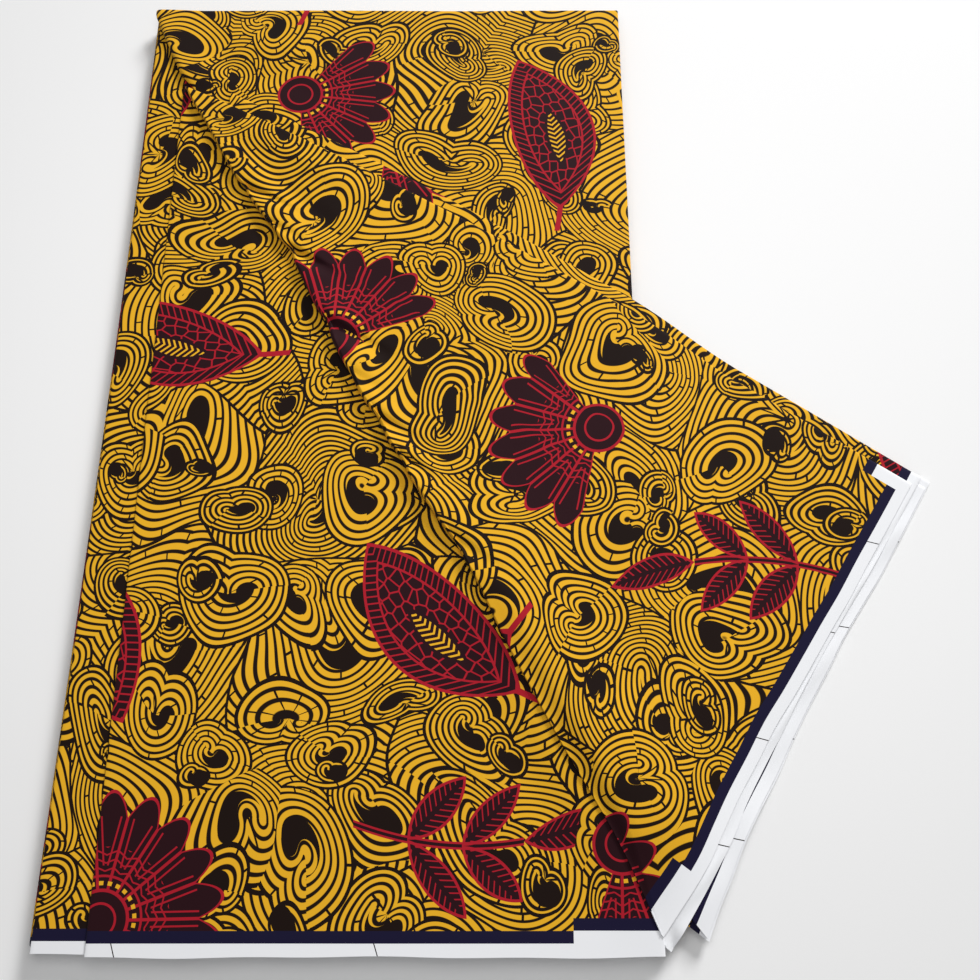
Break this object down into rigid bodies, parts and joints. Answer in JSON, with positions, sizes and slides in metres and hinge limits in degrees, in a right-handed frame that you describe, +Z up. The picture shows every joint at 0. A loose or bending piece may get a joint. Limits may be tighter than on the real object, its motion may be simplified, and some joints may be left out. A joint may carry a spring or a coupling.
{
  "type": "folded length of wax print cloth",
  "caption": "Folded length of printed cotton cloth, laid flat, its top page turned over across one corner and fanned out to show the print.",
  "frame": {"origin": "under the middle of the folded cloth, on the surface that it lies on", "axes": "+Y from the selvedges towards the fold along the cloth's middle, +X towards the turned-over wing, +Z up"},
  "size_m": [0.4898, 0.591, 0.0199],
  "materials": {
    "wax_print": "plain woven cotton, resist printed in dark brown, crimson and golden yellow, with a soft calendered sheen",
    "white_selvedge": "the same plain woven cotton, left white along its woven edge"
  },
  "bodies": {
    "root": {"folded_stack": "wax_print", "stack_page": "wax_print", "front_page": "wax_print", "inner_page": "wax_print", "wing_page": "wax_print", "wing_ply_2": "wax_print", "wing_ply_3": "white_selvedge", "wing_ply_4": "white_selvedge"}
  },
  "joints": []
}
